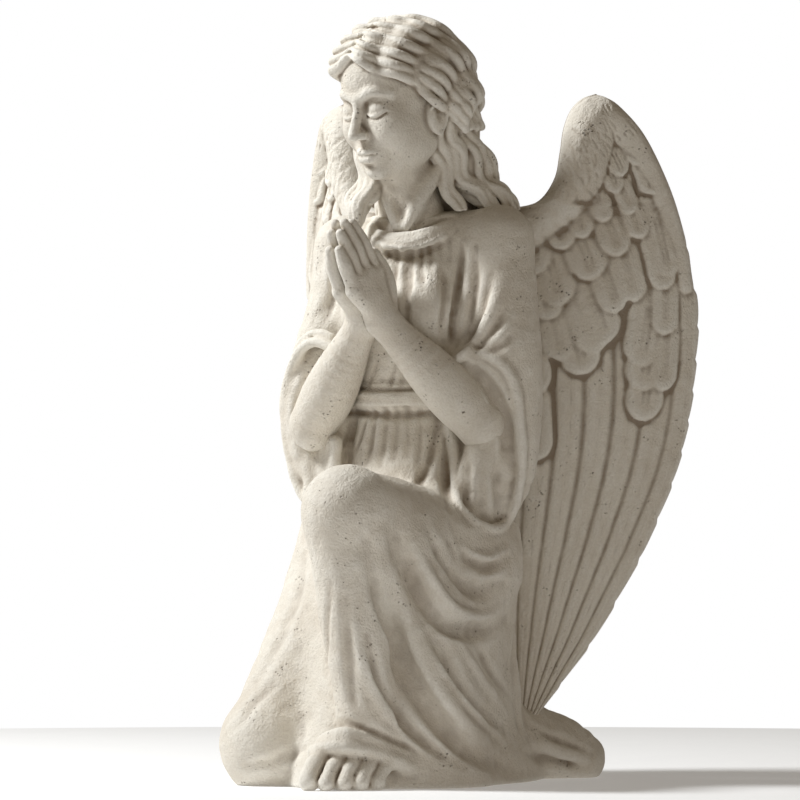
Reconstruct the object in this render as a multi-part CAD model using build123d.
"""Resin angel figurine, kneeling in prayer, with swept-back wings.

A hollow-cast robed body stands on its open rim, closed by a base plate with a filling hole and its stopper.
The head, the two forearms and the two wings are castings of their own, bonded on over steel dowels.

Millimetres. +Z is up, the figure faces -Y and its left is +X. Every piece is modelled with the spine on the Z axis
and the ground at Z = 0, then the whole is moved so that the origin is the middle of its footprint.
"""

from build123d import *
import math
import os

# Heights, from the ground up
HIP_HEIGHT = 140.0
HIP_TO_WAIST = 62.0
WAIST_TO_SHOULDER = 78.0
SHOULDER_TO_CHIN = 37.0
HEAD_HEIGHT = 82.0
KNEE_HEIGHT = 141.0  # centre of the raised knee

# Widths and depths of the figure
SHOULDER_SPREAD = 46.0  # from the spine to the centre of each shoulder
SHOULDER_RADIUS = 17.0
CHEST_HALF_WIDTH = 43.0
CHEST_HALF_DEPTH = 32.0
WAIST_HALF_WIDTH = 35.0
WAIST_HALF_DEPTH = 26.0
HIP_HALF_WIDTH = 50.0
HIP_HALF_DEPTH = 58.0
SKIRT_HALF_WIDTH = 63.0  # robe on the ground
SKIRT_HALF_DEPTH = 110.0
NECK_RADIUS = 15.0
KNEE_REACH = 103.0  # raised knee in front of the spine
KNEEL_REACH = 84.0  # kneeling knee in front of the spine
LEG_SPREAD = 17.0  # raised leg to the left of the spine
KNEEL_SPREAD = 44.0  # kneeling knee to the right of the spine
FOOT_SPREAD = 25.0  # bare foot to the left of the spine
TRAIN_REACH = 98.0  # trailing hem behind the spine
TRAIN_SPREAD = 56.0  # and its corner to the left of the spine
FOOT_LENGTH = 52.0
FOOT_WIDTH = 36.0
FOOT_HEIGHT = 19.0

# Arms and hands
ELBOW_SPREAD = 56.0  # middle of the sleeve round the elbow
ELBOW_INSET = 8.0  # the bare elbow sits this far inside that
ELBOW_BELOW_WAIST = 14.0
WRIST_REACH = 42.0
WRIST_HEIGHT_ABOVE_WAIST = 33.0
FOREARM_RADIUS = 13.0
WRIST_RADIUS = 8.0
HAND_LENGTH = 62.0
HAND_HALF_WIDTH = 14.0
HAND_THICKNESS = 9.0
HAND_LEAN = 27.0  # degrees forward of upright
PALM_OFFSET = -2.0  # the plane where the palms meet, across the spine

# Wings
WING_ROOT = (30.0, 38.0)
WING_SWEEP = 36.0  # degrees back from straight out
WING_CHORD = 107.0
WING_RISE = 81.0  # above the shoulder
WING_TIP_HEIGHT = 24.0
WING_THICKNESS = 7.0
WING_COVERT_THICKNESS = 11.0
WING_ARM_RADIUS = 8.0
WING_CURL_RADIUS = 215.0  # the wing is cupped about an upright axis behind it
WING_BOSS_RADIUS = 10.0

# Shell, closures and joints
WALL = 8.0
PLATE_THICKNESS = 6.0
PLATE_BORDER = 8.0  # width of the rim outside the plate, beyond the wall
PLATE_LEDGE = 4.0  # width of the ledge that the plate seats on
PLATE_RECESS = 1.0  # the plate stays clear of the ground
STOPPER_RADIUS = 13.0
STOPPER_TAPER = 1.5
STOPPER_FLANGE_RADIUS = 17.0
STOPPER_FLANGE_THICKNESS = 2.0
STOPPER_GRIP = 3.0  # length that stands proud inside the shell
WING_DOWEL_RADIUS = 2.5
WING_DOWEL_LENGTH = 22.0
WING_DOWEL_SPACING = 48.0
NECK_DOWEL_RADIUS = 3.0
NECK_DOWEL_LENGTH = 36.0
FOREARM_DOWEL_RADIUS = 1.5
FOREARM_DOWEL_LENGTH = 24.0
BOND_GAP = 0.2  # adhesive between bonded faces
SOCKET_GAP = 0.1  # adhesive round a dowel
CAVITY_HEADROOM = 14.0  # solid resin kept under the lower wing dowels

# Places that follow from the sizes
WAIST_HEIGHT = HIP_HEIGHT + HIP_TO_WAIST
SHOULDER_HEIGHT = WAIST_HEIGHT + WAIST_TO_SHOULDER
CHIN_HEIGHT = SHOULDER_HEIGHT + SHOULDER_TO_CHIN
CROWN_HEIGHT = CHIN_HEIGHT + HEAD_HEIGHT
BACK_SHIFT = 6.0  # the shoulders and neck sit this far behind the spine axis
NECK_SEAT_HEIGHT = SHOULDER_HEIGHT + 6.0
CONE_INSET = 0.985  # a limb's cone stays just inside its end spheres


def limb(start, end, start_radius, end_radius, grow=0.0):
    """A tapered limb with round ends, made larger all over by grow."""
    start, end = Vector(*start), Vector(*end)
    start_radius += grow
    end_radius += grow
    axis = Plane(origin=start, z_dir=end - start)
    length = (end - start).length
    if abs(start_radius - end_radius) < 0.01:
        middle = Solid.make_cylinder(start_radius * CONE_INSET, length, axis)
    else:
        middle = Solid.make_cone(start_radius * CONE_INSET, end_radius * CONE_INSET, length, axis)
    return Pos(*start) * Sphere(start_radius) + middle + Pos(*end) * Sphere(end_radius)


def ellipsoid(centre, radii, grow=0.0, turn=(0, 0, 0)):
    """An ellipsoid with the given half sizes, turned about its centre."""
    radii = [radius + grow for radius in radii]
    return Pos(*centre) * Rotation(*turn) * scale(Sphere(1), by=tuple(radii))


def on_height(height, centre, half_width, half_depth):
    """A level ellipse, as one section of a loft."""
    return Pos(centre[0], centre[1], height) * Ellipse(half_width, half_depth)


# Body ---------------------------------------------------------------------------------------------------------------

CHEST_HEIGHT = WAIST_HEIGHT + 0.55 * WAIST_TO_SHOULDER
# Height, centre and half sizes of the robe and trunk
TRUNK = [
    (0.0, (5.0, TRAIN_REACH - SKIRT_HALF_DEPTH), SKIRT_HALF_WIDTH, SKIRT_HALF_DEPTH),
    (0.18 * HIP_HEIGHT, (5.0, -22.0), SKIRT_HALF_WIDTH - 4, SKIRT_HALF_DEPTH - 20),
    (0.38 * HIP_HEIGHT, (5.0, -28.0), SKIRT_HALF_WIDTH - 6, SKIRT_HALF_DEPTH - 34),
    (0.65 * HIP_HEIGHT, (5.0, -26.0), HIP_HALF_WIDTH + 4, HIP_HALF_DEPTH + 9),
    (HIP_HEIGHT, (3.0, -18.0), HIP_HALF_WIDTH, HIP_HALF_DEPTH),
    (HIP_HEIGHT + 0.45 * HIP_TO_WAIST, (1.0, 0.0), HIP_HALF_WIDTH - 8, WAIST_HALF_DEPTH + 9),
    (WAIST_HEIGHT, (0.0, 4.0), WAIST_HALF_WIDTH, WAIST_HALF_DEPTH),
    (CHEST_HEIGHT, (0.0, 2.0), CHEST_HALF_WIDTH, CHEST_HALF_DEPTH),
    (SHOULDER_HEIGHT, (0.0, BACK_SHIFT), CHEST_HALF_WIDTH, CHEST_HALF_DEPTH - 6),
    (SHOULDER_HEIGHT + 13, (0.0, BACK_SHIFT), NECK_RADIUS + 9, NECK_RADIUS + 5),
]

SHOULDER_AT = (SHOULDER_SPREAD, BACK_SHIFT + 2, SHOULDER_HEIGHT)
ELBOW_AT = (ELBOW_SPREAD - ELBOW_INSET, -8.0, WAIST_HEIGHT - ELBOW_BELOW_WAIST)
KNEE_AT = (LEG_SPREAD - 2, -KNEE_REACH, KNEE_HEIGHT)
ANKLE_AT = (FOOT_SPREAD, -KNEE_REACH - 4, FOOT_HEIGHT + 6)
KNEEL_AT = (-KNEEL_SPREAD, -KNEEL_REACH, 24.0)


def sleeve():
    """The left sleeve: the upper arm, its wide mouth round the elbow and the hem that hangs from it."""
    elbow = (ELBOW_SPREAD, ELBOW_AT[1] + 2, ELBOW_AT[2] - 6)
    hem = (ELBOW_SPREAD - 6, 2.0, HIP_HEIGHT + 12)
    upper = limb(SHOULDER_AT, elbow, SHOULDER_RADIUS, SHOULDER_RADIUS + 3)
    hanging = limb(elbow, hem, SHOULDER_RADIUS + 2, SHOULDER_RADIUS - 3)
    return upper + hanging


def foot():
    """The bare front of the left foot, out from under the hem, with five toes."""
    toe_line = -KNEE_REACH - FOOT_LENGTH * 0.62
    instep = ellipsoid((FOOT_SPREAD, toe_line + FOOT_LENGTH * 0.4, 0), (FOOT_WIDTH / 2, FOOT_LENGTH / 2, FOOT_HEIGHT))
    shape = instep
    toe_radius = FOOT_WIDTH / 8.5
    for number in range(5):
        across = (number - 2) * FOOT_WIDTH / 5.4
        radius = toe_radius * (1.25 - 0.12 * number)
        back = 1.3 * number * number
        tip = (FOOT_SPREAD + across, toe_line + back, radius)
        root = (FOOT_SPREAD + across * 0.9, toe_line + back + 12, radius + 2)
        shape += limb(root, tip, radius * 1.1, radius)
    return shape


def cavity():
    """The hollow of the cast shell, a wall inside the trunk, up to the solid chest."""
    top = min(SHOULDER_HEIGHT - WING_DOWEL_SPACING - CAVITY_HEADROOM, WAIST_HEIGHT + 12)
    seat = PLATE_RECESS + PLATE_THICKNESS
    sections = []
    for height, centre, half_width, half_depth in TRUNK[:7]:
        if height == 0.0:
            height = seat
            inset = WALL + PLATE_BORDER + PLATE_LEDGE
        else:
            inset = WALL
        if height < top:
            sections.append(on_height(height, centre, half_width - inset, half_depth - inset))
    return loft(sections)


def plate_outline(gap=0.0):
    """Outline of the rebate in the underside, or of the plate that drops into it with a gap."""
    _, centre, half_width, half_depth = TRUNK[0]
    inset = WALL + PLATE_BORDER + gap
    return Pos(*centre) * Ellipse(half_width - inset, half_depth - inset)


def body_raw():
    """The robed body before anything is cut from it."""
    shape = loft([on_height(*section) for section in TRUNK])
    hip = (LEG_SPREAD + 4, -6.0, HIP_HEIGHT - 4)
    kneeling_hip = (-LEG_SPREAD - 5, -6.0, HIP_HEIGHT - 6)
    shape += limb(hip, KNEE_AT, 27.0, 23.0)
    shape += limb(KNEE_AT, ANKLE_AT, 22.5, 17.0)
    shape += limb(kneeling_hip, KNEEL_AT, 28.0, 24.5)
    shape += limb((20, 22, 18), (TRAIN_SPREAD, TRAIN_REACH - 12, 7), 28.0, 13.0)
    left = sleeve()
    shape += left
    shape += mirror(left, Plane.YZ)
    collar = Pos(0, BACK_SHIFT - 5, SHOULDER_HEIGHT + 9) * Rotation(-24, 0, 0) * Torus(NECK_RADIUS + 6, 3.4)
    shape += collar
    shape += foot()
    below = Pos(0, 0, -50) * Box(600, 600, 100)
    return shape - below


# Head ---------------------------------------------------------------------------------------------------------------

HEAD_TURN = -22.0  # degrees towards the figure's right
HEAD_NOD = 14.0
SKULL_RADIUS = HEAD_HEIGHT * 0.40
SKULL_CENTRE = Vector(-2.0, -15.0, CROWN_HEIGHT - SKULL_RADIUS)
HEAD_FRAME = Pos(*SKULL_CENTRE) * Rotation(HEAD_NOD, 0, HEAD_TURN)


def head_raw(grow=0.0):
    """Head, neck and long hair, made larger all over by grow. The hair lies on the back and both shoulders."""
    face_depth = SKULL_RADIUS * 0.92
    jaw = ellipsoid((0, -SKULL_RADIUS * 0.30, -SKULL_RADIUS * 0.72), (SKULL_RADIUS * 0.62, face_depth * 0.72,
                    SKULL_RADIUS * 0.82), grow)
    hair = ellipsoid((0, SKULL_RADIUS * 0.14, 0), (SKULL_RADIUS * 0.94, SKULL_RADIUS * 1.06, SKULL_RADIUS), grow)
    nape = ellipsoid((0, SKULL_RADIUS * 0.62, -SKULL_RADIUS * 0.8), (SKULL_RADIUS * 0.8, SKULL_RADIUS * 0.55,
                     SKULL_RADIUS * 0.95), grow)
    shape = HEAD_FRAME * (hair + jaw + nape)
    neck_top = (-2.0, -9.0, CHIN_HEIGHT + 8)
    shape += limb((0, BACK_SHIFT - 2, NECK_SEAT_HEIGHT), neck_top, NECK_RADIUS, NECK_RADIUS - 1, grow)
    behind = SKULL_CENTRE.Y + SKULL_RADIUS
    shape += limb((26, behind - 6, CHIN_HEIGHT + 18), (44, BACK_SHIFT + 6, SHOULDER_HEIGHT + 19), 9, 6, grow)
    shape += limb((0, behind - 4, CHIN_HEIGHT + 6), (0, BACK_SHIFT + 26, SHOULDER_HEIGHT - 8), 17, 9, grow)
    shape += limb((-24, -12, CHIN_HEIGHT + 14), (-25, -20, SHOULDER_HEIGHT + 6), 8, 6, grow)
    return shape


# Forearms -----------------------------------------------------------------------------------------------------------

LEAN = math.radians(HAND_LEAN)
WRIST_AT = Vector(PALM_OFFSET + WRIST_RADIUS * 0.9, -WRIST_REACH, WAIST_HEIGHT + WRIST_HEIGHT_ABOVE_WAIST)
HAND_MIDDLE = Vector(PALM_OFFSET, -WRIST_REACH - HAND_LENGTH / 2 * math.sin(LEAN),
                     WRIST_AT.Z + HAND_LENGTH / 2 * math.cos(LEAN))


def forearm_raw(side, grow=0.0):
    """One bare forearm and its hand, side +1 for the figure's left. The palm lies on the plane between the hands."""
    wrist = (PALM_OFFSET + side * (WRIST_AT.X - PALM_OFFSET), WRIST_AT.Y, WRIST_AT.Z)
    elbow = (side * ELBOW_AT[0], ELBOW_AT[1], ELBOW_AT[2])
    arm = limb(elbow, wrist, FOREARM_RADIUS, WRIST_RADIUS, grow)
    hand = ellipsoid(HAND_MIDDLE, (HAND_THICKNESS, HAND_HALF_WIDTH, HAND_LENGTH / 2 + 5), grow, (HAND_LEAN, 0, 0))
    if grow:
        return arm + hand
    across = Pos(PALM_OFFSET - side * 50, 0, HAND_MIDDLE.Z) * Box(100, 400, 400)
    return (arm + hand) - across


def forearm_dowel(side, grow=0.0):
    """The pin that runs from the elbow end of a forearm up into the solid upper arm."""
    elbow = Vector(side * ELBOW_AT[0], ELBOW_AT[1], ELBOW_AT[2])
    shoulder = Vector(side * SHOULDER_AT[0], SHOULDER_AT[1], SHOULDER_AT[2])
    up = (shoulder - elbow).normalized()
    start = elbow + up * (FOREARM_RADIUS - FOREARM_DOWEL_LENGTH / 2)
    return Solid.make_cylinder(FOREARM_DOWEL_RADIUS + grow, FOREARM_DOWEL_LENGTH, Plane(origin=start, z_dir=up))


# Wings --------------------------------------------------------------------------------------------------------------

SWEEP = math.radians(WING_SWEEP)
OUTWARD = Vector(math.cos(SWEEP), math.sin(SWEEP), 0)
FORWARD = Vector(math.sin(SWEEP), -math.cos(SWEEP), 0)
WING_PLANE = Plane(origin=(WING_ROOT[0], WING_ROOT[1], 0), x_dir=OUTWARD, z_dir=FORWARD)
WING_TOP = SHOULDER_HEIGHT + WING_RISE
CURL_OFFSET = math.sqrt(WING_CURL_RADIUS**2 - WING_CHORD**2 / 4)


def wing_point(out, height):
    """A point on the cupped middle surface of the left wing, out from its root and at a height."""
    bulge = math.sqrt(WING_CURL_RADIUS**2 - (out - WING_CHORD / 2) ** 2) - CURL_OFFSET
    foot_point = Vector(WING_ROOT[0], WING_ROOT[1], height) + OUTWARD * out + FORWARD * bulge
    return (foot_point.X, foot_point.Y, foot_point.Z)


def cupped(face, thickness):
    """The part of an upright cylindrical shell that lies behind and in front of an outline in the wing's plane."""
    prism = extrude(face, amount=60, both=True)
    centre = Vector(WING_ROOT[0], WING_ROOT[1], 0) + OUTWARD * (WING_CHORD / 2) - FORWARD * CURL_OFFSET
    shell = Cylinder(WING_CURL_RADIUS + thickness / 2, 3 * WING_TOP) - Cylinder(
        WING_CURL_RADIUS - thickness / 2, 3 * WING_TOP
    )
    return prism & (Pos(*centre) * shell)


def wing_face(outer_points, inner_points):
    """A face in the wing's plane between an outer and an inner curve, closed by a straight foot if they don't meet."""
    edges = [Spline(*outer_points), Spline(*inner_points)]
    if outer_points[-1] != inner_points[0]:
        edges.append(Line(outer_points[-1], inner_points[0]))
    return WING_PLANE * make_face(edges)


def wing_parts(grow=0.0):
    """The solids that make the left wing: flight feathers, covert layer, the arm along the leading edge, root."""
    chord, top, tip = WING_CHORD, WING_TOP, WING_TIP_HEIGHT
    span = top - tip
    inner_top = (-8.0, SHOULDER_HEIGHT + 10)
    inner_tip = (3.0, tip)
    outer_tip = (17.0, tip)
    leading_edge = [
        inner_top,
        (24.0, SHOULDER_HEIGHT + 26),
        (0.45 * chord, top),
        (0.86 * chord, tip + 0.86 * span),
        (1.0 * chord, tip + 0.64 * span),
    ]
    trailing_edge = [(0.93 * chord, tip + 0.44 * span), (0.6 * chord, tip + 0.20 * span), outer_tip]
    inner_edge = [inner_tip, (0.0, tip + 0.36 * span), (-4.0, tip + 0.6 * span), inner_top]
    blade = cupped(wing_face(leading_edge + trailing_edge, inner_edge), WING_THICKNESS + 2 * grow)
    covert_top = (0.0, SHOULDER_HEIGHT + 6)
    covert_foot = (0.92 * chord, tip + 0.48 * span)
    covert_edge = [
        covert_top,
        (26.0, SHOULDER_HEIGHT + 21),
        (0.45 * chord, top - 5),
        (0.82 * chord, tip + 0.84 * span),
        (0.96 * chord, tip + 0.64 * span),
        covert_foot,
    ]
    covert_inner = [covert_foot, (0.5 * chord, tip + 0.52 * span), (10.0, tip + 0.42 * span), covert_top]
    coverts = cupped(wing_face(covert_edge, covert_inner), WING_COVERT_THICKNESS + 2 * grow)
    radius = WING_ARM_RADIUS
    elbow = wing_point(0.33 * chord, top - 26)
    crest = wing_point(0.46 * chord, top - radius - 1)
    shoulder = wing_point(2.0, SHOULDER_HEIGHT + 2)
    wrist = wing_point(0.80 * chord, tip + 0.86 * span)
    boss_top = wing_point(-6.0, SHOULDER_HEIGHT - 2)
    boss_foot = wing_point(-6.0, SHOULDER_HEIGHT - WING_DOWEL_SPACING - 8)
    return [
        blade,
        coverts,
        limb(shoulder, elbow, radius + 2, radius, grow),
        limb(elbow, crest, radius, radius - 1, grow),
        limb(crest, wrist, radius, radius - 2, grow),
        limb(boss_top, boss_foot, WING_BOSS_RADIUS, WING_BOSS_RADIUS - 1, grow),
    ]


def wing_dowel(number, grow=0.0):
    """One of the left wing's two dowels, from inside the wing's root boss forward into the back."""
    height = SHOULDER_HEIGHT - 4 - number * WING_DOWEL_SPACING
    middle = Vector(*wing_point(-6.0, height)) + FORWARD * (WING_BOSS_RADIUS - WING_DOWEL_LENGTH / 2)
    return Solid.make_cylinder(WING_DOWEL_RADIUS + grow, WING_DOWEL_LENGTH, Plane(origin=middle, z_dir=FORWARD))


# Closures and dowels ------------------------------------------------------------------------------------------------


def neck_dowel(grow=0.0):
    """The upright pin across the seam between the neck and the body."""
    start = Vector(0, BACK_SHIFT - 2, NECK_SEAT_HEIGHT - NECK_RADIUS - NECK_DOWEL_LENGTH / 2)
    return Solid.make_cylinder(NECK_DOWEL_RADIUS + grow, NECK_DOWEL_LENGTH, Plane(origin=start, z_dir=(0, 0, 1)))


FILL_HOLE_AT = TRUNK[0][1]


def stopper(gap=0.0):
    """The tapered rubber stopper with its flange, pushed up into the plate from below."""
    under = PLATE_RECESS
    length = PLATE_THICKNESS + STOPPER_GRIP
    flange = Solid.make_cylinder(STOPPER_FLANGE_RADIUS + gap, STOPPER_FLANGE_THICKNESS + gap, Plane((0, 0, under)))
    plug = Solid.make_cone(STOPPER_RADIUS + gap, STOPPER_RADIUS - STOPPER_TAPER + gap, length, Plane((0, 0, under)))
    return Pos(FILL_HOLE_AT[0], FILL_HOLE_AT[1], 0) * (flange + plug)


def base_plate():
    """The plate that closes the shell, seated on the ledge, with its stepped filling hole."""
    plate = extrude(Pos(0, 0, PLATE_RECESS) * plate_outline(BOND_GAP), amount=PLATE_THICKNESS)
    return plate - stopper(BOND_GAP)


def body_casting():
    """The hollow body with its sockets for the head, forearms and wings, and the rebate for the plate."""
    shape = body_raw() - cavity()
    shape -= extrude(plate_outline(), amount=PLATE_RECESS + PLATE_THICKNESS)
    shape -= head_raw(BOND_GAP)
    for side in (1, -1):
        shape -= forearm_raw(side, BOND_GAP)
        shape -= forearm_dowel(side, SOCKET_GAP)
    for cut in wing_parts(BOND_GAP) + [wing_dowel(number, SOCKET_GAP) for number in (0, 1)]:
        shape -= cut
        shape -= mirror(cut, Plane.YZ)
    return shape - neck_dowel(SOCKET_GAP)


def biggest(shape):
    """The largest solid of a shape, without the crumbs that a cut can leave."""
    return max(shape.solids(), key=lambda solid: solid.volume)


def both_sides(make_one):
    """The same piece on the left and, mirrored, on the right."""
    left = make_one()
    return left, mirror(left, Plane.YZ)


def wing_casting():
    """The left wing with its two dowel sockets."""
    parts = wing_parts()
    shape = parts[0]
    for part in parts[1:]:
        shape += part
    for number in (0, 1):
        shape -= wing_dowel(number, SOCKET_GAP)
    return biggest(shape)


def wing_dowels():
    """The left wing's pair of dowels."""
    return Compound([wing_dowel(number) for number in (0, 1)])


def main():
    left_wing, right_wing = both_sides(wing_casting)
    left_wing_dowels, right_wing_dowels = both_sides(wing_dowels)
    forearms = {}
    for name, side in (("left_forearm", 1), ("right_forearm", -1)):
        forearms[name] = biggest(forearm_raw(side) - forearm_dowel(side, SOCKET_GAP))
    pieces = {
        "body_casting": biggest(body_casting()),
        "head_casting": biggest(head_raw() - neck_dowel(SOCKET_GAP)),
        **forearms,
        "left_wing": left_wing,
        "right_wing": right_wing,
        "left_wing_dowels": left_wing_dowels,
        "right_wing_dowels": right_wing_dowels,
        "neck_dowel": neck_dowel(),
        "forearm_dowels": Compound([forearm_dowel(side) for side in (1, -1)]),
        "base_plate": base_plate(),
        "fill_stopper": stopper(),
    }
    whole = Compound([piece for piece in pieces.values()]).bounding_box()
    to_origin = Pos(-whole.center().X, -whole.center().Y, -whole.min.Z)
    os.makedirs("parts", exist_ok=True)
    for name, piece in pieces.items():
        export_step(to_origin * piece, f"parts/{name}.step")
    print("overall size", whole.size, "moved by", to_origin.position)


main()
